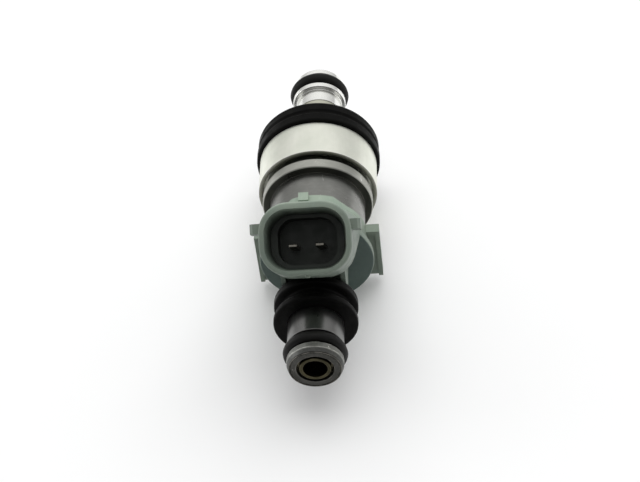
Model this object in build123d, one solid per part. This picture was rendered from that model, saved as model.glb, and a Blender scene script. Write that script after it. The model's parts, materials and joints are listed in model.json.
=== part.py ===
from build123d import *
import math
import os

# Side-connector, top-feed fuel injector.
# Frame: millimetres, the injector's axis is Y with the nozzle towards -Y and the fuel inlet
# towards +Y, +Z is up through the electrical connector. The origin is on the axis, in the
# plane where the rubber insulator sits on the intake manifold.

# ---- lengths along the axis ----
nose_length = 9.6           # manifold seat plane to the nozzle face
insulator_length = 5.3      # rubber insulator
boss_length = 9.6           # plastic boss between insulator and moulded disc
disc_length = 6.4           # moulded foot of the connector, disc and locating plate
shell_length = 7.2          # bare steel shell between disc and shoulder ring
shoulder_length = 2.2       # shoulder ring on the shell
collar_gap = 0.85           # groove between shoulder ring and clamp collar
collar_length = 7.75        # clamp collar
grommet_length = 5.8        # rubber grommet behind the collar
neck_length = 10.8          # inlet neck
neck_polished = 2.9         # bright band of the neck next to the inlet flange
inlet_flange = 1.1          # flange in front of the inlet gland
inlet_gland = 3.1           # inlet O-ring gland
inlet_rim = 1.2             # rim behind the inlet gland

# ---- radii seen from outside ----
barrel_r = 4.8              # nozzle barrel and nozzle cap
boss_r = 5.45               # plastic boss round the barrel
disc_r = 10.0               # moulded disc
shell_r = 8.5               # steel shell
shoulder_r = 9.94           # shoulder ring
collar_r = 10.73            # clamp collar
collar_seat_r = 9.2         # shell under the clamp collar
collar_mouth_clearance = 0.08  # radial, collar's front counterbore round the shoulder ring
collar_mouth_depth = 2.0
grommet_r = 11.35           # front lip of the grommet
hub_r = 6.0                 # shell's rear hub, inside the grommet
neck_r = 4.24               # bright band of the neck
core_r = 4.1                # fixed core and the neck's satin part
inlet_flange_r = 5.0        # flange in front of the inlet O-ring
inlet_gland_r = 3.18        # floor of the inlet gland
inlet_rim_r = 4.65          # rim behind the inlet O-ring

# ---- nozzle end ----
cap_length = 2.0            # nozzle cap that keeps the lower O-ring on
cap_cone = 1.0              # length of the cap's cone
cap_face_r = 4.42           # flat front of the cap
cap_mouth_r = 3.15          # opening in the cap
cap_mouth_depth = 1.0
nose_r = 3.35               # nose of the valve body, and the lower gland's floor
lower_gland = 2.7           # width of the lower gland
lower_ring_section = 2.1
sleeve_r = 2.65             # brass nozzle sleeve
sleeve_bore_r = 2.05
sleeve_recess = 0.02        # sleeve's front behind the cap's face
cap_dish_r = 4.2            # faintly sunk middle of the cap's face
cap_dish = 0.06
recess_floor = 5.4          # cap's face to the floor that the orifice plate lies on
plate_thickness = 0.3       # orifice plate
orifice_r = 0.18
orifice_pitch_r = 0.9
orifice_count = 4

# ---- valve ----
valve_body_r = 3.6
crimp_lip = 0.5             # barrel's edge closed over the valve body
seat_wall = 1.2             # metal between the orifice plate and the seat
sac_r = 0.45                # hole below the seat
guide_bore_r = 2.0          # bore of the valve body
guide_clearance = 0.03      # radial, needle lands in the valve body
guide_flat = 1.7            # half width across the flats on the needle's lands
seat_clearance = 0.005      # needle ball to seat when shut
ball_r = 1.3
stem_r = 1.2
land_length = 3.0
front_land_y = 0.8
valve_body_rear = 12.5      # y of the valve body's rear face
lift = 0.1                  # needle travel
stop_thickness = 1.2        # C-shaped stopper plate
slot_clearance = 0.15       # needle stem in the stopper plate's slot
holder_web = 1.0            # barrel's inner shoulder behind the stopper plate
web_bore_r = 2.6

# ---- magnet ----
armature_clearance = 0.1    # radial, armature in the barrel's pole bore
barrel_wall = 0.55          # barrel outside the armature
armature_play = 0.7         # armature's front to the barrel's inner shoulder
residual_gap = 0.05         # armature to core at full lift
pole_face = 27.0            # y of the core's front face
stem_depth = 5.2            # needle stem pressed into the armature
spring_bore_r = 1.6
cross_hole_r = 0.6
mould_front = 1.5           # plastic in front of the shell
shell_lip = 0.5             # shell's front edge closed over the barrel's flange
shell_lip_width = 0.7
shell_bore_r = 7.3
pole_flange = 2.3           # barrel's rear flange
face_gap = 0.2              # bobbin to the barrel's flange and to the shell's rear wall
shell_rear_wall = 2.0
hub_length = 4.3
bobbin_bore_clearance = 0.06
bobbin_wall = 0.7
bobbin_flange = 1.8
bobbin_flange_r = 7.1
coil_depth = 1.8            # height of the winding on the bobbin
seal_section = 1.2          # both coil O-rings

# ---- spring and fuel way ----
core_bore_r = 2.0
adjuster_bore_r = 1.2
adjuster_length = 12.0
adjuster_slot = 0.7
spring_length = 8.4
spring_wire = 0.5
spring_mean_r = 1.15
spring_turns = 8
filter_seat_r = 2.35
filter_seat_depth = 11.8
filter_ring = 2.0
filter_set_back = 0.6
filter_basket_r = 1.9
filter_screen_r = 1.5
filter_screen_wall = 0.1
filter_rib = 0.7
filter_ribs = 3
filter_gap = 0.5            # basket's front to the floor of its seat
filter_end = 0.8
inlet_ring_section = 2.4

# ---- rubber ----
insulator_lip_r = 7.2
insulator_waist_r = 5.9
insulator_front_lip = 1.3
insulator_rear_lip = 1.7
insulator_step = 0.35       # slope on both sides of the waist
rubber_round = 0.45
grommet_waist_r = 10.95
grommet_rear_r = 11.2
grommet_front_lip = 2.1
grommet_waist = 0.8
grommet_step = 0.4          # slope on both sides of the waist
grommet_bevel = 1.1         # rear edge
grommet_round = 0.6
grommet_back = 1.5          # rubber behind the shell's hub

# ---- connector ----
socket_angle = 50.0         # connector's axis to the injector's axis, leaning to the nozzle
socket_foot = 3.25          # where the two axes cross, behind the disc's front face
socket_length = 24.9        # crossing point to the mouth
mouth_width = 15.15
mouth_height = 12.0
mouth_round = 4.9
rim_round = 0.4             # outer edge of the mouth
cavity_width = 13.35        # at the mouth
cavity_height = 10.15
cavity_round = 3.9
cavity_drop = 0.17          # cavity's middle below the connector's axis
cavity_depth = 9.5
ledge_depth = 5.2           # mouth to the ledge that the plug's seal meets
ledge_draft = 0.65          # each side, mouth to ledge
ledge_width = 1.1
heel_length = 15.0          # crossing point to the end of the socket's straight part
heel_growth = 0.1           # each side in width, mouth to heel
foot_length = 4.1           # crossing point to the section that is buried in the disc
foot_growth = 0.45          # each side in width, mouth to foot
foot_height = 6.8
foot_round = 3.2
lug_reach = 9.05
lug_height = 1.7
lug_length = 3.2
lug_set_back = 1.0
lug_offset = 1.97           # lug's middle above the connector's axis
lug_bevel = 0.5             # lead-in at the lug's front corner
web_half = 5.45             # half width of the neck under the connector
web_top = 9.5
web_rib = 0.8
web_pocket = 0.9
insulator_gap = 0.3
wing_half = 11.05           # half width of the locating plate
wing_thickness = 1.45
wing_top = 2.0
wing_bottom = -9.2
wing_rim = 0.75             # raised border at the plate's top and outer edges
wing_rim_height = 0.45
tab_width = 1.75
tab_offset = -1.43
tab_top = 10.8
pad_top_half = 3.0          # raised pad over the terminals, behind the disc
pad_foot_half = 7.0
pad_foot_z = 5.5
skirt_wall = 0.45           # plastic over the shell behind the disc
disc_flange = 1.1           # thickness of the disc's full round
nub_r = 0.35                # moulding nub under the mouth
nub_offset = 0.1
nub_height = 0.4
nub_set_back = 0.8
plug_clearance = 0.1        # plastic plug in the shell's window to the bobbin's flange

# ---- terminals ----
pin_pitch = 4.4
pin_width = 1.3
pin_thickness = 0.64
pin_drop = 1.0              # blades below the connector's axis
pin_set_back = 2.1          # blade tips inside the mouth
pin_tip = 0.6
pin_lane = 6.8              # height of the straight run over the barrel's flange
pin_lane_floor = 6.35
window_half = 3.6           # opening for the terminals at the front of the shell

# ---- edges and working lengths ----
fine_edge = 0.12            # lead-ins of the nozzle sleeve
barrel_edge = 0.1
cap_edge = 0.15             # nozzle cap and inlet flange
metal_edge = 0.2            # shell, shoulder ring and clamp collar
armature_edge = 0.25
inlet_lead = 0.35
disc_round = 0.3
past = 1.0                  # cutters run this far past the face they cut

# ---- stations that follow from the lengths ----
nozzle_face = -nose_length
cap_rear = nozzle_face + cap_length
barrel_front = cap_rear + lower_gland
cap_shelf = nozzle_face + cap_mouth_depth
plate_rear = nozzle_face + recess_floor
plate_front = plate_rear - plate_thickness
seat_front = plate_rear + seat_wall
body_shoulder = barrel_front + crimp_lip
stop_rear = valve_body_rear + stop_thickness
chamber_front = stop_rear + holder_web
disc_front = insulator_length + boss_length
disc_rear = disc_front + disc_length
shell_front = disc_front + mould_front
flange_front = shell_front + shell_lip
flange_rear = flange_front + pole_flange
bobbin_front = flange_rear + face_gap
bobbin_front_inner = bobbin_front + bobbin_flange
shoulder_front = disc_rear + shell_length
shoulder_rear = shoulder_front + shoulder_length
collar_front = shoulder_rear + collar_gap
collar_rear = collar_front + collar_length
wall_front = collar_rear - shell_rear_wall
bobbin_rear = wall_front - face_gap
bobbin_rear_inner = bobbin_rear - bobbin_flange
grommet_rear = collar_rear + grommet_length
hub_rear = grommet_rear - grommet_back
inlet_flange_front = grommet_rear + neck_length
gland_front = inlet_flange_front + inlet_flange
gland_rear = gland_front + inlet_gland
inlet_end = gland_rear + inlet_rim
filter_front = inlet_end - filter_seat_depth + filter_gap
filter_rear = inlet_end - filter_set_back
armature_front = chamber_front + armature_play
armature_rear = pole_face - lift - residual_gap
stem_rear = armature_front + stem_depth
adjuster_front = stem_rear + spring_length
pole_bore_r = barrel_r - barrel_wall
armature_r = pole_bore_r - armature_clearance
bobbin_bore_r = max(core_r, pole_bore_r) + bobbin_bore_clearance
bobbin_barrel_r = bobbin_bore_r + bobbin_wall


def station(y):
    return Plane((0, y, 0), x_dir=(1, 0, 0), z_dir=(0, 1, 0))


def rod(radius, y0, y1):
    return station(y0) * Cylinder(radius, y1 - y0, align=(Align.CENTER, Align.CENTER, Align.MIN))


def tube(outer, inner, y0, y1):
    return rod(outer, y0, y1) - rod(inner, y0, y1)


def block(x0, x1, y0, y1, z0, z1):
    corner = (Align.MIN, Align.MIN, Align.MIN)
    return Pos(x0, y0, z0) * Box(x1 - x0, y1 - y0, z1 - z0, align=corner)


def turned(outline, soft=0.0, soft_from=0.0):
    """Turn an outline of (radius, y) about the axis; corners beyond soft_from are rounded."""
    section = make_face(Polyline(*outline, close=True))
    if soft:
        corners = section.vertices().filter_by(lambda v: v.X > soft_from)
        section = fillet(corners, soft)
    return revolve(section, Axis.Y, 360)


def o_ring(inner_radius, section, y_middle):
    return station(y_middle) * Torus(inner_radius + section / 2, section / 2)


def slab(outline, x0, x1):
    """A plate between x0 and x1 whose outline is given as (y, z)."""
    face = make_face(Polyline(*[(0, y, z) for y, z in outline], close=True))
    return extrude(Pos(x0, 0, 0) * face, x1 - x0, dir=(1, 0, 0))


# ---- nozzle end ----
def nozzle_cap():
    return turned([
        (nose_r, cap_rear),
        (barrel_r - cap_edge, cap_rear),
        (barrel_r, cap_rear - cap_edge),
        (barrel_r, nozzle_face + cap_cone),
        (cap_face_r, nozzle_face),
        (cap_dish_r, nozzle_face),
        (cap_dish_r, nozzle_face + cap_dish),
        (cap_mouth_r, nozzle_face + cap_dish),
        (cap_mouth_r, cap_shelf),
        (nose_r, cap_shelf),
    ])


def nozzle_sleeve():
    front = nozzle_face + cap_dish + sleeve_recess
    return turned([
        (sleeve_bore_r, front + fine_edge),
        (sleeve_bore_r + fine_edge, front),
        (sleeve_r - fine_edge, front),
        (sleeve_r, front + fine_edge),
        (sleeve_r, plate_front),
        (sleeve_bore_r, plate_front),
    ])


def orifice_plate():
    plate = rod(sleeve_r, plate_front, plate_rear)
    holes = [
        Pos(orifice_pitch_r * math.cos(a), 0, orifice_pitch_r * math.sin(a))
        * rod(orifice_r, plate_front - past, plate_rear + past)
        for a in [math.tau * (i + 0.5) / orifice_count for i in range(orifice_count)]
    ]
    return plate - holes


def valve_body():
    outside = rod(nose_r, cap_shelf, body_shoulder) + rod(valve_body_r, body_shoulder, valve_body_rear)
    seat_rear = seat_front + guide_bore_r - sac_r
    hollow = turned([
        (0, plate_rear - past),
        (sac_r, plate_rear - past),
        (sac_r, seat_front),
        (guide_bore_r, seat_rear),
        (guide_bore_r, valve_body_rear + past),
        (0, valve_body_rear + past),
    ])
    dish = turned([
        (0, plate_rear),
        (orifice_pitch_r + 2 * orifice_r, plate_rear),
        (0, plate_rear + orifice_r),
    ])
    return outside - rod(sleeve_r, cap_shelf - past, plate_rear) - hollow - dish


def nozzle_barrel():
    outside = turned([
        (0, barrel_front),
        (barrel_r - barrel_edge, barrel_front),
        (barrel_r, barrel_front + barrel_edge),
        (barrel_r, flange_front),
        (shell_bore_r, flange_front),
        (shell_bore_r, flange_rear),
        (0, flange_rear),
    ])
    bores = (
        rod(nose_r, barrel_front - past, body_shoulder)
        + rod(valve_body_r, body_shoulder, stop_rear)
        + rod(web_bore_r, stop_rear, chamber_front)
        + rod(pole_bore_r, chamber_front, flange_rear + past)
    )
    notch = block(-window_half, window_half, flange_front, flange_rear, pin_lane_floor, shell_r)
    return outside - bores - notch


# ---- needle, armature and their stop ----
def needle():
    ball_y = seat_front - sac_r + math.sqrt(2) * (ball_r + seat_clearance)
    ball = Pos(0, ball_y, 0) * Sphere(ball_r)
    stem = rod(stem_r, ball_y, stem_rear)
    rear_land_end = valve_body_rear - lift
    land_r = guide_bore_r - guide_clearance
    lands = rod(land_r, front_land_y, front_land_y + land_length)
    lands += rod(land_r, rear_land_end - land_length, rear_land_end)
    square = block(-guide_flat, guide_flat, front_land_y, rear_land_end, -guide_flat, guide_flat)
    return ball + stem + (lands & square)


def stopper_plate():
    half = stem_r + slot_clearance
    plate = rod(valve_body_r, valve_body_rear, stop_rear)
    slot = rod(half, valve_body_rear, stop_rear)
    slot += block(0, valve_body_r + past, valve_body_rear, stop_rear, -half, half)
    return plate - slot


def armature():
    plunger = turned([
        (0, armature_front),
        (armature_r - armature_edge, armature_front),
        (armature_r, armature_front + armature_edge),
        (armature_r, armature_rear - armature_edge),
        (armature_r - armature_edge, armature_rear),
        (0, armature_rear),
    ])
    plunger -= rod(stem_r, armature_front - past, stem_rear)
    plunger -= rod(spring_bore_r, stem_rear, armature_rear + past)
    middle = Pos(0, stem_rear + 2 * cross_hole_r, 0)
    drill = Cylinder(cross_hole_r, 2 * (armature_r + past))
    return plunger - [middle * drill, middle * Rot(0, 90, 0) * drill]


def return_spring():
    """Helical spring whose end turns are ground flat against its two seats."""
    ground_off = 0.15 * spring_wire
    pitch = (spring_length + 2 * ground_off) / spring_turns
    path = Helix(pitch, pitch * spring_turns, spring_mean_r)
    wire = sweep(Plane(path @ 0, z_dir=path % 0) * Circle(spring_wire / 2), path, is_frenet=True)
    coil = station(stem_rear - ground_off) * wire
    return coil & rod(spring_mean_r + spring_wire, stem_rear, adjuster_front)


def adjusting_tube():
    rear = adjuster_front + adjuster_length
    shell = tube(core_bore_r, adjuster_bore_r, adjuster_front, rear)
    slit = block(-adjuster_slot / 2, adjuster_slot / 2, adjuster_front, rear, 0, core_bore_r + past)
    return shell - slit


# ---- magnet ----
def inlet_tube():
    """Fixed core and fuel inlet in one turned piece."""
    outside = turned([
        (0, pole_face),
        (core_r, pole_face),
        (core_r, inlet_flange_front - neck_polished - (neck_r - core_r)),
        (neck_r, inlet_flange_front - neck_polished),
        (neck_r, inlet_flange_front),
        (inlet_flange_r - cap_edge, inlet_flange_front),
        (inlet_flange_r, inlet_flange_front + cap_edge),
        (inlet_flange_r, gland_front - cap_edge),
        (inlet_flange_r - cap_edge, gland_front),
        (inlet_gland_r, gland_front),
        (inlet_gland_r, gland_rear),
        (inlet_rim_r, gland_rear),
        (inlet_rim_r, inlet_end - inlet_lead),
        (inlet_rim_r - inlet_lead, inlet_end),
        (0, inlet_end),
    ])
    way = rod(core_bore_r, pole_face - past, inlet_end - past)
    way += rod(filter_seat_r, inlet_end - filter_seat_depth, inlet_end + past)
    return outside - way


def coil_shell():
    """Steel shell of the magnet: tube, shoulder ring, collar seat, rear wall and hub."""
    outside = turned([
        (0, shell_front),
        (shell_r, shell_front),
        (shell_r, shoulder_front),
        (shoulder_r - metal_edge, shoulder_front),
        (shoulder_r, shoulder_front + metal_edge),
        (shoulder_r, shoulder_rear - metal_edge),
        (shoulder_r - metal_edge, shoulder_rear),
        (collar_seat_r, shoulder_rear),
        (collar_seat_r, collar_rear),
        (hub_r, collar_rear),
        (hub_r, hub_rear),
        (0, hub_rear),
    ])
    bores = rod(shell_bore_r - shell_lip_width, shell_front - past, flange_front)
    bores += rod(shell_bore_r, flange_front, wall_front)
    bores += rod(core_r, wall_front, hub_rear + past)
    window = block(-window_half, window_half, shell_front, bobbin_front_inner, pin_lane_floor, shell_r)
    return outside - bores - window


def clamp_collar():
    mouth_r = shoulder_r + collar_mouth_clearance
    return turned([
        (collar_seat_r, collar_front + collar_mouth_depth),
        (mouth_r, collar_front + collar_mouth_depth),
        (mouth_r, collar_front),
        (collar_r - metal_edge, collar_front),
        (collar_r, collar_front + metal_edge),
        (collar_r, collar_rear - metal_edge),
        (collar_r - metal_edge, collar_rear),
        (collar_seat_r, collar_rear),
    ])


def pins():
    return [pin(side) for side in (-1, 1)]


def coil_bobbin():
    spool = tube(bobbin_barrel_r, bobbin_bore_r, bobbin_front, bobbin_rear)
    spool += tube(bobbin_flange_r, bobbin_bore_r, bobbin_front, bobbin_front_inner)
    spool += tube(bobbin_flange_r, bobbin_bore_r, bobbin_rear_inner, bobbin_rear)
    groove = seal_section - face_gap
    front_seal_outer = bobbin_barrel_r + seal_section
    spool -= tube(front_seal_outer, bobbin_barrel_r, bobbin_front, bobbin_front + groove)
    spool -= rod(core_r + seal_section, bobbin_rear - groove, bobbin_rear)
    return spool - pins()


def coil_winding():
    return tube(bobbin_barrel_r + coil_depth, bobbin_barrel_r, bobbin_front_inner, bobbin_rear_inner)


def front_coil_seal():
    return o_ring(bobbin_barrel_r, seal_section, flange_rear + seal_section / 2)


def rear_coil_seal():
    return o_ring(core_r, seal_section, wall_front - seal_section / 2)


# ---- fuel inlet ----
def filter_frame():
    ring_front = filter_rear - filter_ring
    frame = tube(filter_seat_r, filter_screen_r, ring_front, filter_rear)
    frame += rod(filter_basket_r, filter_front, filter_front + filter_end)
    half = filter_rib / 2
    into_ring = ring_front + half
    rib = block(-half, half, filter_front, into_ring, filter_screen_r, filter_basket_r)
    frame += [Rot(0, 360 * i / filter_ribs, 0) * rib for i in range(filter_ribs)]
    return frame


def filter_screen():
    rear = filter_rear - filter_ring / 2
    inside = filter_screen_r - filter_screen_wall
    return tube(filter_screen_r, inside, filter_front + filter_end, rear)


# ---- rubber ----
def lower_o_ring():
    return o_ring(nose_r, lower_ring_section, (cap_rear + barrel_front) / 2)


def inlet_o_ring():
    return o_ring(inlet_gland_r, inlet_ring_section, (gland_front + gland_rear) / 2)


def manifold_insulator():
    waist_front = insulator_front_lip + insulator_step
    rear_lip = insulator_length - insulator_rear_lip
    return turned([
        (barrel_r, 0),
        (insulator_lip_r, 0),
        (insulator_lip_r, insulator_front_lip),
        (insulator_waist_r, waist_front),
        (insulator_waist_r, rear_lip - insulator_step),
        (insulator_lip_r, rear_lip),
        (insulator_lip_r, insulator_length),
        (barrel_r, insulator_length),
    ], soft=min(rubber_round, 0.45 * insulator_front_lip), soft_from=barrel_r + insulator_step)


def rail_grommet():
    waist_front = collar_rear + grommet_front_lip
    waist_rear = waist_front + grommet_waist
    half = grommet_step / 2
    outer = turned([
        (core_r, collar_rear),
        (grommet_r, collar_rear),
        (grommet_r, waist_front - half),
        (grommet_waist_r, waist_front + half),
        (grommet_waist_r, waist_rear - half),
        (grommet_rear_r, waist_rear + half),
        (grommet_rear_r, grommet_rear - grommet_bevel),
        (grommet_rear_r - grommet_bevel, grommet_rear),
        (core_r, grommet_rear),
    ])
    rings = outer.edges().filter_by(GeomType.CIRCLE).filter_by(lambda e: e.radius > hub_r)
    rear = rings.filter_by(lambda e: e.center().Y > grommet_rear - 1.1 * grommet_bevel)
    outer = fillet(rear, grommet_round)
    rings = outer.edges().filter_by(GeomType.CIRCLE).filter_by(lambda e: e.radius > hub_r)
    outer = fillet(rings.sort_by(Axis.Y)[0], grommet_round)
    return outer - rod(hub_r, collar_rear, hub_rear)


# ---- connector ----
lean = math.radians(socket_angle)
out_dir = (0, -math.cos(lean), math.sin(lean))
socket_plane = Plane((0, disc_front + socket_foot, 0), x_dir=(1, 0, 0), z_dir=out_dir)


def along(length, offset=0.0):
    """(y, z) of a point in the middle plane: length up the connector's axis, offset across it."""
    y = disc_front + socket_foot - length * math.cos(lean) + offset * math.sin(lean)
    return y, length * math.sin(lean) + offset * math.cos(lean)


def rise(offset, z):
    """Length up the connector's axis at which a line at this offset is at height z."""
    return (z - offset * math.cos(lean)) / math.sin(lean)


def pin(side):
    """A terminal: a lane over the barrel's flange, a bend, and a blade up the socket."""
    half = pin_thickness / 2
    low, high = -pin_drop - half, -pin_drop + half
    tip = socket_length - pin_set_back
    root = bobbin_front_inner - half
    outline = [
        (root, pin_lane - half),
        along(rise(low, pin_lane - half), low),
        along(tip - pin_tip, low),
        along(tip, low + half / 2),
        along(tip, high - half / 2),
        along(tip - pin_tip, high),
        along(rise(high, pin_lane + half), high),
        (root, pin_lane + half),
    ]
    middle = side * pin_pitch / 2
    return slab(outline, middle - pin_width / 2, middle + pin_width / 2)


def socket_section(length, width, height, rounding, offset=0.0):
    at = socket_plane.offset(length)
    return at * Pos(0, offset, 0) * RectangleRounded(width, height, rounding)


def socket_outside():
    """Straight part from mouth to heel, then a foot that narrows into the disc."""
    mouth = socket_section(socket_length, mouth_width, mouth_height, mouth_round)
    heel = socket_section(heel_length, mouth_width + 2 * heel_growth, mouth_height, mouth_round)
    foot_rise = (mouth_height - foot_height) / 2
    foot = socket_section(
        foot_length, mouth_width + 2 * foot_growth, foot_height, foot_round, foot_rise
    )
    straight = loft([heel, mouth])
    rim = straight.faces().sort_by(lambda f: -Vector(f.center()).dot(Vector(*out_dir)))[0]
    return fillet(rim.edges(), rim_round) + loft([foot, heel])


def connector_body():
    front = insulator_length + insulator_gap
    floor_z = insulator_lip_r + insulator_gap
    body = socket_outside()
    body -= block(-disc_r, disc_r, -socket_length, front, -socket_length, floor_z)
    neck = block(-web_half, web_half, front, disc_front, 0, web_top)
    pocket_half = web_half - web_rib
    neck -= block(-pocket_half, pocket_half, front, front + web_pocket, 0, floor_z)
    body += neck + rod(boss_r, insulator_length, disc_front) + disc()
    body += lugs() + nub()
    body -= cavity()
    body -= rod(barrel_r, 0, shell_front) + rod(shell_r, shell_front, disc_rear + past)
    plug = block(-window_half, window_half, shell_front, bobbin_front_inner, pin_lane_floor, shell_r)
    plug &= rod(shell_r, shell_front, bobbin_front_inner)
    plug -= rod(bobbin_flange_r + plug_clearance, flange_rear, bobbin_front_inner)
    return body + plug - pins()


def disc():
    plate_front_y = disc_rear - wing_thickness
    rim_front_y = plate_front_y - wing_rim_height
    round_disc = rod(disc_r, disc_front, disc_front + disc_flange)
    rim = round_disc.edges().filter_by(GeomType.CIRCLE).sort_by(Axis.Y)[0]
    round_disc = fillet(rim, disc_round)
    field = wing_half - wing_rim
    wing = block(-wing_half, wing_half, rim_front_y, disc_rear, wing_bottom, wing_top)
    wing -= block(-field, field, rim_front_y, plate_front_y, wing_bottom, wing_top - wing_rim)
    side = tab_width / 2
    tab = block(tab_offset - side, tab_offset + side, rim_front_y, disc_rear, 0, tab_top)
    skirt = rod(shell_r + skirt_wall, disc_front, disc_rear)
    return round_disc + wing + tab + skirt + terminal_pad()


def terminal_pad():
    """Raised back of the moulding over the terminals, falling to both sides."""
    right = [(0, disc_r), (pad_top_half, disc_r), (pad_foot_half, pad_foot_z), (pad_foot_half, 0)]
    outline = right + [(-x, z) for x, z in reversed(right[1:])]
    face = make_face(Polyline(*[(x, disc_front, z) for x, z in outline], close=True))
    roof = extrude(face, disc_length, dir=(0, 1, 0))
    return roof & rod(disc_r, disc_front, disc_rear)


def cavity():
    """Drafted mouth down to a ledge, then a narrower well."""
    low = -cavity_drop
    mouth = socket_section(socket_length, cavity_width, cavity_height, cavity_round, low)
    width, height = cavity_width - 2 * ledge_draft, cavity_height - 2 * ledge_draft
    rounding = cavity_round - ledge_draft / 2
    ledge = socket_section(socket_length - ledge_depth, width, height, rounding, low)
    drafted = loft([ledge, mouth])
    width, height = width - 2 * ledge_width, height - ledge_width
    rounding = cavity_round - ledge_width
    floor = socket_section(socket_length - cavity_depth, width, height, rounding, low)
    return drafted + extrude(floor, cavity_depth - ledge_depth + ledge_width / 2, dir=out_dir)


def lugs():
    """Latch lugs on both sides; the outline is (x, length up the connector's axis)."""
    front = socket_length - lug_set_back
    rear = front - lug_length
    root = (mouth_width + cavity_width) / 4
    outline = [
        (root, rear),
        (lug_reach, rear),
        (lug_reach, front - lug_bevel),
        (lug_reach - lug_bevel, front),
        (root, front),
    ]
    underside = socket_plane.from_local_coords((0, lug_offset - lug_height / 2, 0))
    side_plane = Plane(underside, x_dir=(1, 0, 0), z_dir=-Vector(*socket_plane.y_dir))
    face = side_plane * make_face(Polyline(*outline, close=True))
    lug = extrude(face, lug_height, dir=socket_plane.y_dir)
    return lug + mirror(lug, Plane.YZ)


def nub():
    """Small moulding nub under the mouth."""
    skin = (nub_offset, -mouth_height / 2, socket_length - nub_set_back)
    at = socket_plane.from_local_coords(skin)
    return Plane(at, z_dir=socket_plane.y_dir) * Cylinder(nub_r, 2 * nub_height)


def pin_left():
    return pin(-1)


def pin_right():
    return pin(1)


nodes = {
    "nozzle_cap": nozzle_cap,
    "nozzle_sleeve": nozzle_sleeve,
    "orifice_plate": orifice_plate,
    "valve_body": valve_body,
    "nozzle_barrel": nozzle_barrel,
    "needle": needle,
    "stopper_plate": stopper_plate,
    "armature": armature,
    "return_spring": return_spring,
    "adjusting_tube": adjusting_tube,
    "inlet_tube": inlet_tube,
    "coil_shell": coil_shell,
    "clamp_collar": clamp_collar,
    "coil_bobbin": coil_bobbin,
    "coil_winding": coil_winding,
    "front_coil_seal": front_coil_seal,
    "rear_coil_seal": rear_coil_seal,
    "terminal_left": pin_left,
    "terminal_right": pin_right,
    "connector_body": connector_body,
    "filter_frame": filter_frame,
    "filter_screen": filter_screen,
    "lower_o_ring": lower_o_ring,
    "inlet_o_ring": inlet_o_ring,
    "manifold_insulator": manifold_insulator,
    "rail_grommet": rail_grommet,
}

os.makedirs("parts", exist_ok=True)
for name, make in nodes.items():
    shape = make()
    export_step(shape, f"parts/{name}.step")
    print(name, len(shape.solids()), round(shape.volume, 3))
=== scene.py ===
import bpy
import bmesh
import json
import math
import numpy as np
from mathutils import Matrix, Vector


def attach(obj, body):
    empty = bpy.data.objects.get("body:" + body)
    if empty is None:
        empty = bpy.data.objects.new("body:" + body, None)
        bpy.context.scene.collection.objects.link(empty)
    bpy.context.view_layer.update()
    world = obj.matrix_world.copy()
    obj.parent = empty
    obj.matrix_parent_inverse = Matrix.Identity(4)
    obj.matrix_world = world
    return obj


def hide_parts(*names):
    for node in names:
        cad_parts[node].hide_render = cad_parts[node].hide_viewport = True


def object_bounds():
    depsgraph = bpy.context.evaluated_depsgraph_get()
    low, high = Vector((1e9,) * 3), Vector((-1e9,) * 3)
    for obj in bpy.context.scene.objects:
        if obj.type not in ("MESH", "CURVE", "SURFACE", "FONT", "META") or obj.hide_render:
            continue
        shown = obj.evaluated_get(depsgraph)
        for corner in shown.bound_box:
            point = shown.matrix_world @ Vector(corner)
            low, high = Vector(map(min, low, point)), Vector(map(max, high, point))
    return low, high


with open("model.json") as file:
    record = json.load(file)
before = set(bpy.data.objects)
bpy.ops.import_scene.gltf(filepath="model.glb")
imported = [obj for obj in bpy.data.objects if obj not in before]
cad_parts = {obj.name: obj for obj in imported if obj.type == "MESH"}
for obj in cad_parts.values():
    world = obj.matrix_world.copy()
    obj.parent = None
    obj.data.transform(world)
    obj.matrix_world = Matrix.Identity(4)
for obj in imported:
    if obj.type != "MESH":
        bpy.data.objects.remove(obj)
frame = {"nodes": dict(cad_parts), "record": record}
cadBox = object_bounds()
nodes = frame["nodes"]
print("frame loaded:", len(nodes), "nodes")

# Lengths in the dictionaries are millimetres; meshes are made in metres.
mm = 0.001
fullTurn = 2 * math.pi
scene = bpy.context.scene
scene.view_settings.view_transform = "Standard"

# Camera: looks down on the nozzle and into the plug socket.
cameraLook = {"aim": (0.483, 19.861, 0.0), "distance": 303.07, "azimuth": -6.134, "elevation": 45.582,
              "roll": -7.727, "lens": 96.525, "sensor": 36.0, "nearest": 10.0, "farthest": 50000.0}


def placeCamera(look):
    azimuth, elevation, roll = (math.radians(look[key]) for key in ("azimuth", "elevation", "roll"))
    level = Vector((math.cos(azimuth), -math.sin(azimuth), 0))
    ahead = Vector((math.sin(azimuth), math.cos(azimuth), 0))
    forward = ahead * math.cos(elevation) - Vector((0, 0, math.sin(elevation)))
    right = level * math.cos(roll) + level.cross(forward) * math.sin(roll)
    up = right.cross(forward)
    data = bpy.data.cameras.new("injectorCamera")
    data.lens, data.sensor_width = look["lens"], look["sensor"]
    data.clip_start, data.clip_end = look["nearest"] * mm, look["farthest"] * mm
    thing = bpy.data.objects.new("injectorCamera", data)
    scene.collection.objects.link(thing)
    spot = (Vector(look["aim"]) - forward * look["distance"]) * mm
    thing.matrix_world = Matrix.Translation(spot) @ Matrix((right, up, -forward)).transposed().to_4x4()
    scene.camera = thing


placeCamera(cameraLook)
print("camera placed")


# Adds a node; values are sockets to link or constants to set, by name or number of the input.
def put(tree, kind, values=None, **settings):
    node = tree.nodes.new(kind)
    for key, value in settings.items():
        setattr(node, key, value)
    for key, value in (values or {}).items():
        if isinstance(value, bpy.types.NodeSocket):
            tree.links.new(value, node.inputs[key])
        else:
            node.inputs[key].default_value = value
    return node


def calc(tree, operation, first, second=0.0):
    return put(tree, "ShaderNodeMath", {0: first, 1: second}, operation=operation).outputs[0]


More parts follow.
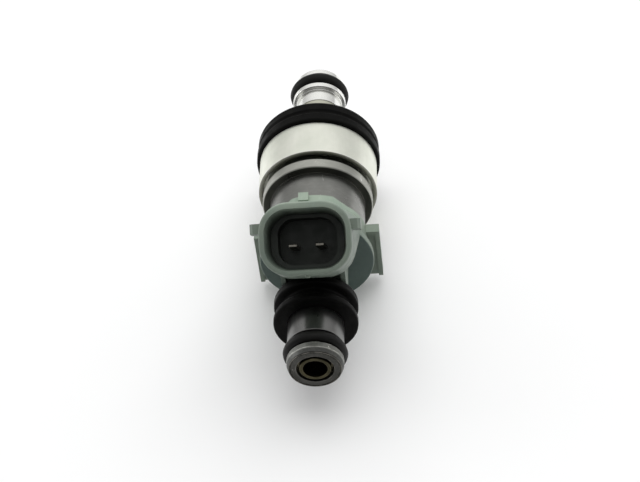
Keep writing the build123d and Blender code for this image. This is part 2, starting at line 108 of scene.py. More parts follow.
def blendColour(tree, factor, first, second, way="MIX"):
    first, second = (c if isinstance(c, bpy.types.NodeSocket) else (*c, 1) for c in (first, second))
    colours = {0: factor, 6: first, 7: second}  # inputs 6 and 7 are the two colours
    return put(tree, "ShaderNodeMix", colours, data_type="RGBA", blend_type=way).outputs[2]


def ramp(tree, value, low, high, start=0.0, end=1.0):
    return put(tree, "ShaderNodeMapRange", {0: value, 1: low, 2: high, 3: start, 4: end}).outputs[0]


# Noise over the part; scale is in cycles per millimetre, stretched along the part's axes.
def grain(tree, scale, stretch=(1, 1, 1), detail=4.0, rough=0.55):
    place = put(tree, "ShaderNodeTexCoord").outputs["Object"]
    sized = put(tree, "ShaderNodeMapping", {"Vector": place, "Scale": [s / mm for s in stretch]})
    values = {"Vector": sized.outputs[0], "Scale": scale, "Detail": detail, "Roughness": rough}
    return put(tree, "ShaderNodeTexNoise", values).outputs["Fac"]


zoneBlur = 0.02


# Multiplies the colour by a factor between two stations along the injector's axis.
def zone(tree, colour, front, rear, factor):
    place = put(tree, "ShaderNodeTexCoord").outputs["Object"]
    y = calc(tree, "MULTIPLY", put(tree, "ShaderNodeSeparateXYZ", {0: place}).outputs[1], 1 / mm)
    inside = calc(tree, "MULTIPLY", ramp(tree, y, front - zoneBlur, front + zoneBlur),
                  ramp(tree, y, rear + zoneBlur, rear - zoneBlur))
    return blendColour(tree, inside, colour, factor, "MULTIPLY")


cornerLook = {"scale": 0.7, "range": (0.38, 0.6)}


# Corners of the turned pieces, broken up by noise.
def wornEdge(tree):
    edge = put(tree, "ShaderNodeAttribute", attribute_name="wear").outputs["Fac"]
    broken = ramp(tree, grain(tree, cornerLook["scale"]), *cornerLook["range"])
    return calc(tree, "MULTIPLY", edge, broken)


def startFinish(name, metallic, gloss=None):
    material = bpy.data.materials.new(name)
    material.use_nodes = True
    shader = material.node_tree.nodes["Principled BSDF"]
    shader.inputs["Metallic"].default_value = metallic
    if gloss is not None:
        shader.inputs["Specular IOR Level"].default_value = gloss
    return material, material.node_tree, shader


# Links colour, roughness and a bump made of one or more heights; depth is in millimetres.
def wire(tree, shader, colour, roughness, heights, depth):
    tree.links.new(colour, shader.inputs["Base Color"])
    tree.links.new(roughness, shader.inputs["Roughness"])
    height = heights[0]
    for extra in heights[1:]:
        height = calc(tree, "ADD", height, extra)
    bump = put(tree, "ShaderNodeBump", {"Height": height, "Distance": depth * mm, "Strength": 1.0})
    tree.links.new(bump.outputs[0], shader.inputs["Normal"])


broad = (0.3, 0.7)  # nearly the whole range of the noise


# Roughness that drifts about its middle value, by the spread below and above it.
def drift(tree, look):
    low, high = (look["roughness"] + step for step in look["spread"])
    return ramp(tree, grain(tree, look["driftScale"]), *broad, low, high)


# Glass-filled plastic: cloudy and flecked with fibres, with painted shade darkening the disc's
# face and the inside of the socket, and painted light making it paler above the socket.
plasticLook = {
    "colour": (0.172, 0.206, 0.168), "shade": (0.142, 0.176, 0.146), "gloss": 0.35,
    "cloudScale": 0.16, "cloudDetail": 3.0, "cloudRange": (0.35, 0.65),
    "fibreScale": 2.6, "fibreRun": (1, 0.35, 0.5), "fibreDetail": 5.0, "fibreRough": 0.65,
    "fibreRange": (0.55, 0.8), "fibreShare": 0.35, "fibrePale": 1.35,
    # Painted shade: the first zone darkens the disc's front face and tints it bluish.
    "zones": [(14.84, 14.98, (0.40, 0.50, 0.53)), (15.02, 21.3, (1.06, 1.08, 1.06))],
    # Painted light makes the plastic paler above the socket; painted shade is the near-black colour inside
    # it.
    "paintedLight": (1.5, 1.5, 1.5), "paintedLightHeight": (3.6, 6.0), "paintedShade": (0.008, 0.011, 0.008),
    "roughness": 0.45, "spread": (-0.08, 0.1), "driftScale": 0.8, "pits": 9.0, "relief": 0.008}
# The socket's axis leaves the injector's at its foot; the depths of the painted shade are floor, darkest and
# mouth.
socketLook = {"foot": 18.15, "lean": 50, "drop": 0.17, "width": 13.35, "height": 10.15, "corner": 3.9,
              "margin": 0.4, "depths": (14.6, 20.5, 25.0), "unshadedShare": 0.08}


# Position across, along and above the socket's axis, in millimetres.
def socketPlace(tree, look):
    place = put(tree, "ShaderNodeTexCoord").outputs["Object"]
    values = {0: place, 1: (1 / mm, 1 / mm, 1 / mm), 2: (0, -look["foot"], 0)}
    local = put(tree, "ShaderNodeVectorMath", values, operation="MULTIPLY_ADD").outputs[0]
    lean = math.radians(look["lean"])
    out, up = (0, -math.cos(lean), math.sin(lean)), (0, math.sin(lean), math.cos(lean))
    length, height = (put(tree, "ShaderNodeVectorMath", {0: local, 1: way},
                          operation="DOT_PRODUCT").outputs["Value"] for way in (out, up))
    across = put(tree, "ShaderNodeSeparateXYZ", {0: local}).outputs[0]
    return across, length, height


# Painted shade for the socket: 0 outside it; inside it grows from the mouth inwards to darken the cavity.
# Inside means that the distance from the middle flats, sqrt(max(|x| - a, 0)^2 + max(|h| - b, 0)^2), is under
# the corner radius.
def socketPaintedShade(tree, look, across, length, height):
    height = calc(tree, "ADD", height, look["drop"])
    flats = [look[side] / 2 - look["corner"] for side in ("width", "height")]
    reach = [calc(tree, "MAXIMUM", calc(tree, "SUBTRACT", calc(tree, "ABSOLUTE", value), flat), 0.0)
             for value, flat in zip((across, height), flats)]
    squares = [calc(tree, "MULTIPLY", value, value) for value in reach]
    distance = calc(tree, "SQRT", calc(tree, "ADD", *squares))
    inside = calc(tree, "LESS_THAN", distance, look["corner"] + look["margin"])
    floor, dark, mouth = look["depths"]
    inside = calc(tree, "MULTIPLY", inside, calc(tree, "GREATER_THAN", length, floor))
    return calc(tree, "MULTIPLY", inside, ramp(tree, length, mouth, dark, 0.0, 1 - look["unshadedShare"]))


def plasticFinish(look):
    material, tree, shader = startFinish("greyGreenPlastic", 0.0, look["gloss"])
    cloud = grain(tree, look["cloudScale"], detail=look["cloudDetail"])
    fibre = grain(tree, look["fibreScale"], look["fibreRun"], look["fibreDetail"], look["fibreRough"])
    colour = blendColour(tree, ramp(tree, cloud, *look["cloudRange"]), look["shade"], look["colour"])
    flecks = ramp(tree, fibre, *look["fibreRange"], 0.0, look["fibreShare"])
    colour = blendColour(tree, flecks, colour, [look["fibrePale"] * c for c in look["colour"]])
    for front, rear, factor in look["zones"]:
        colour = zone(tree, colour, front, rear, factor)
    across, length, height = socketPlace(tree, socketLook)
    # Painted light: the higher above the socket's axis, the paler the plastic, as if lit from above.
    topLight = ramp(tree, height, *look["paintedLightHeight"])
    colour = blendColour(tree, topLight, colour, look["paintedLight"], "MULTIPLY")
    # Painted shade: the inside of the socket is darkened towards its floor.
    paintedShade = socketPaintedShade(tree, socketLook, across, length, height)
    colour = blendColour(tree, paintedShade, colour, look["paintedShade"])
    wire(tree, shader, colour, drift(tree, look), [fibre, grain(tree, look["pits"])], look["relief"])
    return material


# Rubbers and the black bobbin: a dark base with dust, specks and a faintly uneven skin.
skinLook = {"dustScale": 0.5, "dustDetail": 6.0, "dustRange": (0.5, 0.75), "dustShare": 0.6,
            "speckScale": 5.0, "speckRange": (0.66, 0.74), "roughness": 0.42, "spread": (-0.06, 0.16),
            "driftScale": 0.9, "skinScales": (3.0, 12.0), "relief": 0.006}
darkLooks = {
    "seal_rubber": {"name": "sealRubber", "gloss": 0.16,
                    "colour": (0.0055, 0.0055, 0.005), "dust": (0.012, 0.012, 0.0105)},
    "moulded_rubber": {"name": "mouldedRubber", "gloss": 0.055,
                       "colour": (0.0025, 0.0025, 0.0022), "dust": (0.006, 0.006, 0.005)},
    "bobbin_plastic": {"name": "bobbinPlastic", "gloss": 0.5,
                       "colour": (0.030, 0.030, 0.029), "dust": (0.06, 0.06, 0.056)},
}


def darkFinish(ownLook):
    look = {**skinLook, **ownLook}
    material, tree, shader = startFinish(look["name"], 0.0, look["gloss"])
    dust = ramp(tree, grain(tree, look["dustScale"], detail=look["dustDetail"]), *look["dustRange"],
                0.0, look["dustShare"])
    speck = ramp(tree, grain(tree, look["speckScale"]), *look["speckRange"])
    colour = blendColour(tree, calc(tree, "MAXIMUM", dust, speck), look["colour"], look["dust"])
    skin = [grain(tree, scale) for scale in look["skinScales"]]
    wire(tree, shader, colour, drift(tree, look), skin, look["relief"])
    return material


# Metals: lines along or round the axis, cloudy stains, scratches and worn corners. A zone is a
# front and a rear station with the factor that its colour is multiplied by.
around, along, even = (0.04, 3.0, 0.04), (3.0, 0.05, 3.0), (1, 1, 1)
metalCommon = {"zones": [], "lineDetail": 6.0, "lineRough": 0.7, "stainScale": 0.22, "stainDetail": 5.0,
               "stainRange": (0.35, 0.68), "scratchScale": 1.3, "scratchDetail": 2.0,
               "scratchRough": 0.4, "scratchBlur": 0.04, "lineShare": 0.5, "roughRange": (0.45, 1.0),
               "pits": 6.0}
metalLooks = {
    "satin_aluminium": {
        "colour": (0.86, 0.87, 0.78), "stain": (0.76, 0.78, 0.69), "line": (0.72, 0.73, 0.65),
        "bright": (0.88, 0.88, 0.84), "lines": 1.2, "direction": (1.2, 0.12, 1.2), "contrast": 0.3,
        "scratchRun": (1, 0.2, 1), "scratch": 0.76, "roughness": (0.34, 0.48), "relief": 0.004,
        # Painted shade: a dark band on the collar's rear corner, where it meets the grommet.
        "zones": [(31.4, 31.76, (0.27, 0.27, 0.25))]},
    "plated_steel": {
        "colour": (0.262, 0.263, 0.246), "stain": (0.205, 0.208, 0.194), "line": (0.175, 0.175, 0.162),
        "bright": (0.50, 0.50, 0.48), "lines": 1.3, "direction": (0.5, 1.6, 0.5), "contrast": 0.55,
        "scratchRun": (1.6, 0.3, 1.6), "scratch": 0.725, "roughness": (0.24, 0.40), "relief": 0.003,
        "zones": [(28.56, 30.68, (1.7, 1.7, 1.65)), (28.40, 28.53, (0.35, 0.35, 0.33))]},
    "dark_steel": {
        "colour": (0.185, 0.185, 0.180), "stain": (0.165, 0.165, 0.160), "line": (0.20, 0.20, 0.195),
        "bright": (0.40, 0.40, 0.38), "lines": 1.2, "direction": along, "contrast": 0.2,
        "scratchRun": (1, 0.3, 1), "scratch": 0.80, "roughness": (0.26, 0.32), "relief": 0.0006},
    "sintered_steel": {
        "colour": (0.110, 0.112, 0.108), "stain": (0.076, 0.077, 0.072), "line": (0.044, 0.044, 0.040),
        "bright": (0.26, 0.26, 0.245), "lines": 2.6, "direction": even, "contrast": 0.7,
        "scratchRun": even, "scratch": 0.70, "roughness": (0.34, 0.55), "relief": 0.010,
        # On the nozzle cap the first zone is a lighter land finish that also lifts its worn corner into a
        # painted highlight; the second darkens the fine groove at the face's edge as painted shade; the third
        # gives the face a darker brownish tone.
        "zones": [(-8.78, -7.5, (2.4, 2.4, 2.35)), (-9.53, -9.42, (0.30, 0.29, 0.27)),
                  (-9.70, -9.535, (0.76, 0.73, 0.69))]},
    "polished_steel": {
        "colour": (0.90, 0.90, 0.865), "stain": (0.84, 0.84, 0.80), "line": (0.78, 0.78, 0.74),
        "bright": (0.95, 0.95, 0.93), "lines": 1.5, "direction": along, "contrast": 0.25,
        "scratchRun": (1, 0.3, 1), "scratch": 0.82, "roughness": (0.16, 0.24), "relief": 0.0004,
        "zones": [(45.0, 52.98, (0.60, 0.60, 0.52))]},
    "brass": {
        "colour": (0.056, 0.050, 0.026), "stain": (0.030, 0.027, 0.015), "line": (0.022, 0.020, 0.012),
        "bright": (0.10, 0.09, 0.055), "lines": 2.0, "direction": around, "contrast": 0.5,
        "scratchRun": even, "scratch": 0.76, "roughness": (0.28, 0.5), "relief": 0.005},
    "stainless": {
        "colour": (0.56, 0.56, 0.54), "stain": (0.45, 0.45, 0.43), "line": (0.38, 0.38, 0.36),
        "bright": (0.75, 0.75, 0.73), "lines": 2.5, "direction": around, "contrast": 0.4,
        "scratchRun": (1, 0.4, 1), "scratch": 0.78, "roughness": (0.18, 0.32), "relief": 0.003,
        # Painted shade: the stainless seen deep in the nozzle's annular gap is darkened to near black.
        "zones": [(-9.5, -7.5, (0.10, 0.09, 0.06))]},
    "magnet_steel": {
        "colour": (0.46, 0.46, 0.45), "stain": (0.36, 0.36, 0.34), "line": (0.30, 0.30, 0.28),
        "bright": (0.66, 0.66, 0.64), "lines": 2.2, "direction": around, "contrast": 0.4,
        "scratchRun": (1, 0.4, 1), "scratch": 0.76, "roughness": (0.24, 0.4), "relief": 0.004},
    "spring_steel": {
        "colour": (0.42, 0.42, 0.42), "stain": (0.30, 0.30, 0.29), "line": (0.24, 0.24, 0.23),
        "bright": (0.62, 0.62, 0.60), "lines": 3.0, "direction": even, "contrast": 0.4,
        "scratchRun": even, "scratch": 0.76, "roughness": (0.22, 0.36), "relief": 0.003},
    "tinned_brass": {
        "colour": (0.30, 0.29, 0.26), "stain": (0.22, 0.21, 0.18), "line": (0.22, 0.20, 0.17),
        "bright": (0.60, 0.58, 0.50), "lines": 2.4, "direction": (3, 0.3, 0.3), "contrast": 0.4,
        "scratchRun": (1, 0.5, 0.5), "scratch": 0.74, "roughness": (0.26, 0.42), "relief": 0.004},
    "screen_mesh": {
        "colour": (0.52, 0.52, 0.50), "stain": (0.42, 0.41, 0.37), "line": (0.30, 0.30, 0.28),
        "bright": (0.70, 0.70, 0.68), "lines": 4.0, "direction": even, "contrast": 0.4,
        "scratchRun": even, "scratch": 0.80, "roughness": (0.30, 0.45), "relief": 0.002},
    "copper_wire": {
        "colour": (0.46, 0.17, 0.07), "stain": (0.34, 0.11, 0.045), "line": (0.26, 0.08, 0.03),
        "bright": (0.60, 0.27, 0.13), "lines": 1.6, "direction": around, "contrast": 0.5,
        "scratchRun": (0.3, 1, 0.3), "scratch": 0.80, "roughness": (0.22, 0.36), "relief": 0.003},
}


def metalFinish(name, ownLook):
    look = {**metalCommon, **ownLook}
    material, tree, shader = startFinish(name, 1.0)
    lines = grain(tree, look["lines"], look["direction"], look["lineDetail"], look["lineRough"])
    stain = grain(tree, look["stainScale"], detail=look["stainDetail"])
    colour = blendColour(tree, ramp(tree, stain, *look["stainRange"]), look["colour"], look["stain"])
    colour = blendColour(tree, ramp(tree, lines, *broad, 0.0, look["contrast"]), colour, look["line"])
    marks = grain(tree, look["scratchScale"], look["scratchRun"], look["scratchDetail"],
                  look["scratchRough"])
    scratch = ramp(tree, marks, look["scratch"], look["scratch"] + look["scratchBlur"])
    colour = blendColour(tree, calc(tree, "MAXIMUM", wornEdge(tree), scratch), colour, look["bright"])
    for front, rear, factor in look["zones"]:
        colour = zone(tree, colour, front, rear, factor)
    uneven = calc(tree, "ADD", stain, calc(tree, "MULTIPLY", lines, look["lineShare"]))
    roughness = ramp(tree, uneven, *look["roughRange"], *look["roughness"])
    wire(tree, shader, colour, roughness, [lines, grain(tree, look["pits"])], look["relief"])
    return material


finishes = {slot: metalFinish(slot, look) for slot, look in metalLooks.items()}
finishes.update({slot: darkFinish(look) for slot, look in darkLooks.items()})
finishes["grey_green_plastic"] = plasticFinish(plasticLook)
slotOf = {part["node"]: part["material_slot"] for part in frame["record"]["subparts"]}
bodyOf = {node: body for body, members in frame["record"]["behaviour"]["bodies"].items()
          for node in members}
print("materials made:", len(finishes))


# Front, rear, smallest and largest radius of a CAD node about the injector's axis.
def sizeOf(node):
    mesh = nodes[node].data
    places = np.empty(3 * len(mesh.vertices), np.float32)
    mesh.vertices.foreach_get("co", places)
    x, y, z = places.reshape(-1, 3).T.astype(float) / mm
    radius = np.hypot(x, z)
    return [round(float(value), 3) for value in (y.min(), y.max(), radius.min(), radius.max())]


# Shows a mesh in place of a CAD node, on the node's body and in its finish.
def addPiece(name, mesh, node):
    thing = bpy.data.objects.new(name, mesh)
    scene.collection.objects.link(thing)
    mesh.materials.clear()
    mesh.materials.append(finishes[slotOf[node]])
    mesh.shade_smooth()
    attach(thing, bodyOf[node])
    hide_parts(node)
    return thing


# Closed quad mesh from points[i, j] (metres) that joins up in both directions.
def gridMesh(name, points, wear=None):
    rows, columns = points.shape[:2]
    index = np.arange(rows * columns).reshape(rows, columns)
    right, below = np.roll(index, -1, 1), np.roll(index, -1, 0)
    quads = np.stack([index, right, np.roll(right, -1, 0), below], -1).reshape(-1, 4)
    mesh = bpy.data.meshes.new(name)
    mesh.from_pydata(points.reshape(-1, 3).tolist(), [], quads.tolist())
    if wear is not None:
        layer = mesh.attributes.new("wear", "FLOAT", "POINT")
        layer.data.foreach_set("value", np.repeat(wear, columns).astype(np.float32))
    return mesh


# A round takes at most sideShare of a side; the kept margin at most marginShare of it.
outlineLook = {"steps": 5, "margin": 0.04, "leastRound": 0.02, "sideShare": 0.42, "marginShare": 0.05}


# Closed outline of (radius, y, corner radius) with each corner P rounded as
# (1-s)^2 A + 2 s (1-s) P + s^2 B, where A and B lie on the two sides, and a point kept just
# outside each round so that the straight sides stay flat.
def softOutline(corners, look):
    data = np.array(corners, float)
    here, bend = data[:, :2], np.maximum(data[:, 2], look["leastRound"])
    sides = [np.roll(here, shift, 0) - here for shift in (1, -1)]
    lengths = [np.linalg.norm(side, axis=1) for side in sides]
    units = [side / length[:, None] for side, length in zip(sides, lengths)]
    half = np.arccos(np.clip((units[0] * units[1]).sum(1), -1, 1)) / 2
    shorter = np.minimum(*lengths)
    run = np.minimum(bend / np.tan(half), look["sideShare"] * shorter)
    first, last = (here + run[:, None] * unit for unit in units)
    s = np.linspace(0, 1, look["steps"])[None, :, None]
    arc = (1 - s) ** 2 * first[:, None] + 2 * s * (1 - s) * here[:, None] + s ** 2 * last[:, None]
    extra = np.minimum(look["margin"], look["marginShare"] * shorter)[:, None]
    before, after = first + extra * units[0], last + extra * units[1]
    outline = np.concatenate([before[:, None], arc, after[:, None]], 1)
    worn = np.zeros(outline.shape[:2])
    worn[:, 1:-1] = 1.0
    return outline.reshape(-1, 2), worn.reshape(-1)


# Point grid (outline, angle): x = r sin a, z = r cos a; walls face away from the solid.
def turnOutline(outline, count):
    radius, y = outline[:, 0], outline[:, 1]
    area = (radius * np.roll(y, -1) - np.roll(radius, -1) * y).sum()
    angle = np.linspace(0, fullTurn, count, endpoint=False) * (1 if area > 0 else -1)
    grid = np.empty((len(outline), count, 3))
    grid[..., 0] = radius[:, None] * np.sin(angle)
    grid[..., 1] = y[:, None]
    grid[..., 2] = radius[:, None] * np.cos(angle)
    return grid * mm


# A piece turned from the outline that its own function draws inside the CAD node's size.
def turnedPiece(name, node, look, corners):
    outline, worn = softOutline(corners(look, *sizeOf(node)), outlineLook)
    addPiece(name, gridMesh(name, turnOutline(outline, look["around"]), worn), node)


# Nozzle cap: a land, a cone, and a dished face inside a fine groove.
capLook = {"around": 160, "land": 1.0, "seat": 3.35, "face": 4.42, "groove": (4.24, 4.20, 4.12, 4.08),
           "grooveDepth": 0.14, "dish": 0.06, "landRound": 0.12, "faceRound": 0.08,
           "grooveRound": 0.03, "mouthRound": 0.10, "seatRound": 0.05, "stepRound": 0.02}


def capCorners(look, front, rear, bore, radius):
    shoulder, dish, groove = rear - look["land"], front + look["dish"], front + look["grooveDepth"]
    heights = (front, groove, groove, dish)
    return [(look["seat"], rear, look["seatRound"]), (radius, rear, look["landRound"]),
            (radius, shoulder, look["landRound"]), (look["face"], front, look["faceRound"]),
            *((r, y, look["grooveRound"]) for r, y in zip(look["groove"], heights)),
            (bore, dish, look["mouthRound"]), (bore, shoulder, look["seatRound"]),
            (look["seat"], shoulder, look["stepRound"])]


turnedPiece("nozzleCap", "nozzle_cap", capLook, capCorners)

# Brass sleeve in the middle of the nozzle.
sleeveLook = {"around": 120, "mouthRound": 0.10, "rimRound": 0.12, "endRound": 0.04}


def sleeveCorners(look, front, rear, bore, radius):
    return [(bore, front, look["mouthRound"]), (radius, front, look["rimRound"]),
            (radius, rear, look["endRound"]), (bore, rear, look["endRound"])]


turnedPiece("nozzleSleeve", "nozzle_sleeve", sleeveLook, sleeveCorners)

# Clamp collar: a relief at the front of its bore and a rolled front corner.
collarLook = {"around": 192, "relief": 10.02, "reliefDepth": 2.0, "frontRound": 0.38, "rearRound": 0.16,
              "reliefRound": 0.08, "mouthRound": 0.10, "boreRound": 0.05}


def collarCorners(look, front, rear, bore, radius):
    step = front + look["reliefDepth"]
    return [(bore, step, look["boreRound"]), (look["relief"], step, look["reliefRound"]),
            (look["relief"], front, look["mouthRound"]), (radius, front, look["frontRound"]),
            (radius, rear, look["rearRound"]), (bore, rear, look["boreRound"])]


turnedPiece("clampCollar", "clamp_collar", collarLook, collarCorners)

# Fixed core, neck and inlet flanges in one turned piece, with the bore that holds the filter.
inletLook = {"around": 144, "core": 4.1, "neck": 4.24, "neckFront": 53.0, "neckRamp": 0.14,
             "flangeFront": 55.9, "glandFront": 57.0, "gland": 3.18, "glandRear": 60.1, "end": 4.65,
             "filterBore": 2.35, "filterFront": 49.5, "flangeRound": 0.15, "neckRound": 0.12,
             "mouthRound": 0.10, "fineRound": 0.05, "endRound": 0.35, "inletRound": 0.25}


def inletCorners(look, front, rear, bore, radius):
    edge, fine = look["flangeRound"], look["fineRound"]
    return [(bore, front, look["mouthRound"]), (look["core"], front, edge),
            (look["core"], look["neckFront"] - look["neckRamp"], fine),
            (look["neck"], look["neckFront"], fine), (look["neck"], look["flangeFront"], look["neckRound"]),
            (radius, look["flangeFront"], edge), (radius, look["glandFront"], edge),
            (look["gland"], look["glandFront"], edge), (look["gland"], look["glandRear"], edge),
            (look["end"], look["glandRear"], edge), (look["end"], rear, look["endRound"]),
            (look["filterBore"], rear, look["inletRound"]),
            (look["filterBore"], look["filterFront"], fine), (bore, look["filterFront"], fine)]


turnedPiece("inletTube", "inlet_tube", inletLook, inletCorners)

# Rubber insulator: two lips with a waist between them.
insulatorLook = {"around": 160, "waist": 5.9, "frontLip": 1.3, "rearLip": 1.7, "slope": 0.35,
                 "lipRound": 0.42, "waistRound": 0.40, "innerRound": 0.45, "boreRound": 0.10}


def insulatorCorners(look, front, rear, bore, radius):
    frontLip, rearLip = front + look["frontLip"], rear - look["rearLip"]
    lip, waist = look["lipRound"], look["waistRound"]
    return [(bore, front, look["boreRound"]), (radius, front, lip), (radius, frontLip, lip),
            (look["waist"], frontLip + look["slope"], waist), (look["waist"], rearLip - look["slope"], waist),
            (radius, rearLip, look["innerRound"]), (radius, rear, lip), (bore, rear, look["boreRound"])]


turnedPiece("manifoldInsulator", "manifold_insulator", insulatorLook, insulatorCorners)

# Rail grommet: a wide front lip, a valley, a rear lip that tapers, and a web on the neck.
grommetLook = {"around": 192, "trim": 0.01, "frontLip": 1.9, "slope": 0.4, "valley": 10.95,
               "valleyLength": 0.4, "rearLip": 11.2, "taper": 1.1, "seat": 6.0, "web": 1.5,
               "frontRound": 0.55, "lipRound": 0.25, "valleyRound": 0.22, "taperRound": 0.75,
               "boreRound": 0.12, "seatRound": 0.05}


def grommetCorners(look, front, rear, bore, radius):
    outer, seat, web = radius - look["trim"], look["seat"], rear - look["web"]
    lipEnd = front + look["frontLip"]
    valleyFront = lipEnd + look["slope"]
    valleyRear = valleyFront + look["valleyLength"]
    return [(seat, front, look["seatRound"]), (outer, front, look["frontRound"]),
            (outer, lipEnd, look["lipRound"]), (look["valley"], valleyFront, look["valleyRound"]),
            (look["valley"], valleyRear, look["valleyRound"]),
            (look["rearLip"], valleyRear + look["slope"], look["lipRound"]),
            (look["rearLip"], rear - look["taper"], look["taperRound"]),
            (look["rearLip"] - look["taper"], rear, look["taperRound"]),
            (bore, rear, look["boreRound"]), (bore, web, look["seatRound"]),
            (seat, web, look["seatRound"])]


turnedPiece("railGrommet", "rail_grommet", grommetLook, grommetCorners)
print("turned pieces made")

ringNames = {"lower_o_ring": "lowerORing", "inlet_o_ring": "inletORing",
             "front_coil_seal": "frontCoilSeal", "rear_coil_seal": "rearCoilSeal"}
ringLook = {"flashHeight": 0.025, "flashWidth": 0.06, "around": 144, "across": 64}


# O-ring: section radius s - h + h exp(-(t/w)^2) carries the mould's parting line at t = 0.
def ringPiece(node, name, look):
    front, rear, bore, radius = sizeOf(node)
    t = np.linspace(-math.pi, math.pi, look["across"], endpoint=False)
    flash = look["flashHeight"] * (np.exp(-(t / look["flashWidth"]) ** 2) - 1)
    section = (radius - bore) / 2 + flash
    outline = np.stack([(bore + radius) / 2 + section * np.cos(t),
                        (front + rear) / 2 + section * np.sin(t)], 1)
    addPiece(name, gridMesh(name, turnOutline(outline, look["around"])), node)


for node, name in ringNames.items():
    ringPiece(node, name, ringLook)
print("rings made:", len(ringNames))

windingLook = {"turns": 38, "around": 96, "perTurn": 8}


# Winding: r = outer - w/2 (1 - |sin(pi (k + a / 2 pi))|) for k turns along the axis and angle a,
# which makes a helix of wire of width w.
def windingPiece(look):
    front, rear, inner, outer = sizeOf("coil_winding")
    y = np.linspace(front, rear, look["turns"] * look["perTurn"] + 1)
    width = (rear - front) / look["turns"]
    angle = np.linspace(0, fullTurn, look["around"], endpoint=False)
    turn = (y[:, None] - front) / width + angle[None, :] / fullTurn
    fade = np.minimum(1, np.minimum(y - y[0], y[-1] - y) / width)[:, None]
    outside = outer - 0.5 * width * (1 - np.abs(np.sin(math.pi * turn))) * fade
    bottom = np.full((1, look["around"]), inner)
    radius = np.concatenate([bottom, outside, bottom])
    grid = np.empty((*radius.shape, 3))
    grid[..., 0] = radius * np.sin(angle)
    grid[..., 1] = np.concatenate([y[:1], y, y[-1:]])[:, None]
    grid[..., 2] = radius * np.cos(angle)
    addPiece("coilWinding", gridMesh("coilWinding", grid[::-1] * mm), "coil_winding")


windingPiece(windingLook)
print("winding made")

# Filter screen; pinch is the share of a wire's thickness that is left at its ends.
screenLook = {"wires": 18, "turns": 1.6, "along": 48, "sides": 6, "weave": 0.5, "pinch": 0.02,
              "weld": 0.0001}


# Crossing wires on a cylinder: angle a = a0 +- 2 pi n t, y = front + t (rear - front), with a
# small tube round each path; both ends of every tube are drawn in to a point.
def screenPiece(look):
    front, rear, inner, outer = sizeOf("filter_screen")
    wireRadius, middle = (outer - inner) / 2, (outer + inner) / 2
    t = np.linspace(0, 1, look["along"])
    start = np.linspace(0, fullTurn, look["wires"], endpoint=False)
    hand = np.array([1.0, -1.0])[:, None, None]
    angle = start[None, :, None] + hand * fullTurn * look["turns"] * t
    weave = look["weave"] * wireRadius * np.cos(2 * look["wires"] * look["turns"] * t)
    sides = np.linspace(0, fullTurn, look["sides"], endpoint=False)
    thick = (wireRadius * np.where((t == 0) | (t == 1), look["pinch"], 1.0))[:, None]
    out = (middle + hand * weave)[..., None] + thick * np.cos(sides)
    side = thick * np.sin(sides)
    grid = np.empty((*angle.shape, look["sides"], 3))
    grid[..., 0] = out * np.sin(angle)[..., None] + side * np.cos(angle)[..., None]
    grid[..., 1] = (front + t * (rear - front))[:, None]
    grid[..., 2] = out * np.cos(angle)[..., None] - side * np.sin(angle)[..., None]
    places = (grid * mm).reshape(-1, 3).tolist()
    index = np.arange(len(places)).reshape(-1, look["along"], look["sides"])
    beside = np.roll(index, -1, 2)
    quads = np.stack([index[:, :-1], beside[:, :-1], beside[:, 1:], index[:, 1:]], -1).reshape(-1, 4)
    ends = np.concatenate([index[:, 0, :], index[:, -1, ::-1]])
    mesh = bpy.data.meshes.new("filterScreen")
    mesh.from_pydata(places, [], quads.tolist() + ends.tolist())
    work = bmesh.new()
    work.from_mesh(mesh)
    bmesh.ops.remove_doubles(work, verts=work.verts, dist=look["weld"] * mm)
    bmesh.ops.recalc_face_normals(work, faces=work.faces)
    work.to_mesh(mesh)
    work.free()
    addPiece("filterScreen", mesh, "filter_screen")


screenPiece(screenLook)
print("screen made")

# CAD shapes with softened edges: piece name and width of the softened edge.
softNames = {"connector_body": ("connectorBody", 0.10), "coil_shell": ("coilShell", 0.08),
             "nozzle_barrel": ("nozzleBarrel", 0.05), "terminal_left": ("terminalLeft", 0.05),
             "terminal_right": ("terminalRight", 0.05), "coil_bobbin": ("coilBobbin", 0.06),
             "armature": ("armaturePlunger", 0.05), "filter_frame": ("filterFrame", 0.05)}
softLook = {"weld": 0.002, "flatAngle": 0.5, "edgeAngle": 32, "segments": 2}


def softCopy(node, name, width, look):
    mesh = nodes[node].data.copy()
    mesh.name = name
    work = bmesh.new()
    work.from_mesh(mesh)
    bmesh.ops.remove_doubles(work, verts=work.verts, dist=look["weld"] * mm)
    bmesh.ops.dissolve_limit(work, angle_limit=math.radians(look["flatAngle"]), verts=work.verts,
                             edges=work.edges, delimit={"NORMAL"})
    work.to_mesh(mesh)
    work.free()
    if "custom_normal" in mesh.attributes:
        mesh.attributes.remove(mesh.attributes["custom_normal"])
    thing = addPiece(name, mesh, node)
    sharp = math.radians(look["edgeAngle"])
    edge = thing.modifiers.new("softEdge", "BEVEL")
    edge.width, edge.segments, edge.limit_method = width * mm, look["segments"], "ANGLE"
    edge.angle_limit, edge.harden_normals = sharp, True
    mesh.set_sharp_from_angle(angle=sharp)


for node, (name, width) in softNames.items():
    softCopy(node, name, width, softLook)
print("soft copies made:", len(softNames))

for node, thing in nodes.items():
    thing.data.materials.clear()
    thing.data.materials.append(finishes[slotOf[node]])
print("CAD nodes finished:", len(nodes))

# Floor: matt pale paper under the lowest point of the part.
floorLook = {"half": 3000.0, "colour": (0.895, 0.897, 0.897), "gloss": 0.2, "patch": 0.99,
             "patchScale": 0.02, "roughness": 0.65, "spread": (-0.05, 0.05), "driftScale": 0.1,
             "fibreScale": 2.0, "relief": 0.002}


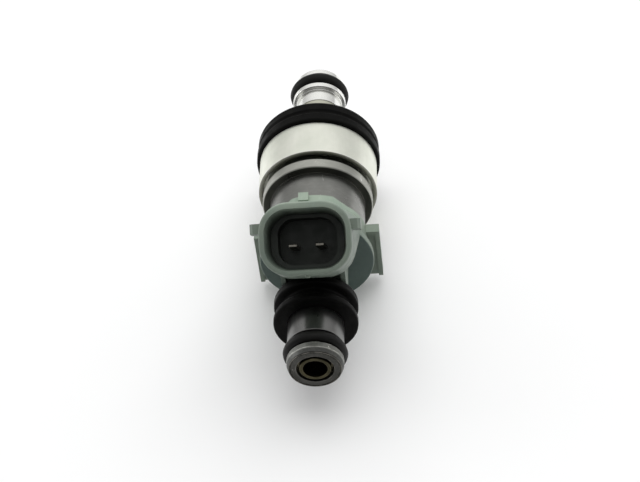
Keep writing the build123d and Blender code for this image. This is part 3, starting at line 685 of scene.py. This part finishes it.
def makeFloor(look):
    half, z = look["half"] * mm, cadBox[0][2]
    corners = [(-half, -half, z), (half, -half, z), (half, half, z), (-half, half, z)]
    mesh = bpy.data.meshes.new("paleFloor")
    mesh.from_pydata(corners, [], [(0, 1, 2, 3)])
    thing = bpy.data.objects.new("paleFloor", mesh)
    scene.collection.objects.link(thing)
    material, tree, shader = startFinish("palePaper", 0.0, look["gloss"])
    patches = ramp(tree, grain(tree, look["patchScale"]), *broad)
    tint = blendColour(tree, patches, look["colour"], [look["patch"] * c for c in look["colour"]])
    wire(tree, shader, tint, drift(tree, look), [grain(tree, look["fibreScale"])], look["relief"])
    mesh.materials.append(material)


makeFloor(floorLook)
print("floor made")

skyLook = {"rear": 1.0, "front": 0.16, "lean": (0.0, 0.50, 0.86), "start": 0.0, "end": 0.95,
           "colour": (1, 1, 1, 1)}


# World that grows brighter from the front horizon to a broad soft field above the rear.
def makeSky(look):
    world = bpy.data.worlds.new("softStudio")
    scene.world = world
    world.use_nodes = True
    tree = world.node_tree
    direction = put(tree, "ShaderNodeTexCoord").outputs["Generated"]
    toward = put(tree, "ShaderNodeVectorMath", {0: direction, 1: look["lean"]}, operation="DOT_PRODUCT")
    level = ramp(tree, toward.outputs["Value"], look["start"], look["end"], look["front"], look["rear"])
    tree.links.new(level, tree.nodes["Background"].inputs["Strength"])
    tree.nodes["Background"].inputs["Color"].default_value = look["colour"]


makeSky(skyLook)
print("world made")

# Soft lights; one that isn't mirrored doesn't show in the shiny metal.
lightLooks = {
    "rearOverhead": {"from": (50, 200, 400), "size": 600, "power": 1.45, "mirrored": False},
    "leftPanel": {"from": (-330, 60, 90), "size": 150, "power": 0.22, "mirrored": True},
    "rightPanel": {"from": (330, 40, 90), "size": 150, "power": 0.15, "mirrored": True},
}
lightAim = (0, 20, 0)


def makeLight(name, look):
    data = bpy.data.lights.new(name, "AREA")
    data.shape, data.size, data.energy = "SQUARE", look["size"] * mm, look["power"]
    thing = bpy.data.objects.new(name, data)
    scene.collection.objects.link(thing)
    thing.visible_glossy = look["mirrored"]
    spot, aim = Vector(look["from"]) * mm, Vector(lightAim) * mm
    thing.matrix_world = Matrix.Translation(spot) @ (aim - spot).to_track_quat("-Z", "Y").to_matrix().to_4x4()


for name, look in lightLooks.items():
    makeLight(name, look)
print("lights made:", len(lightLooks))
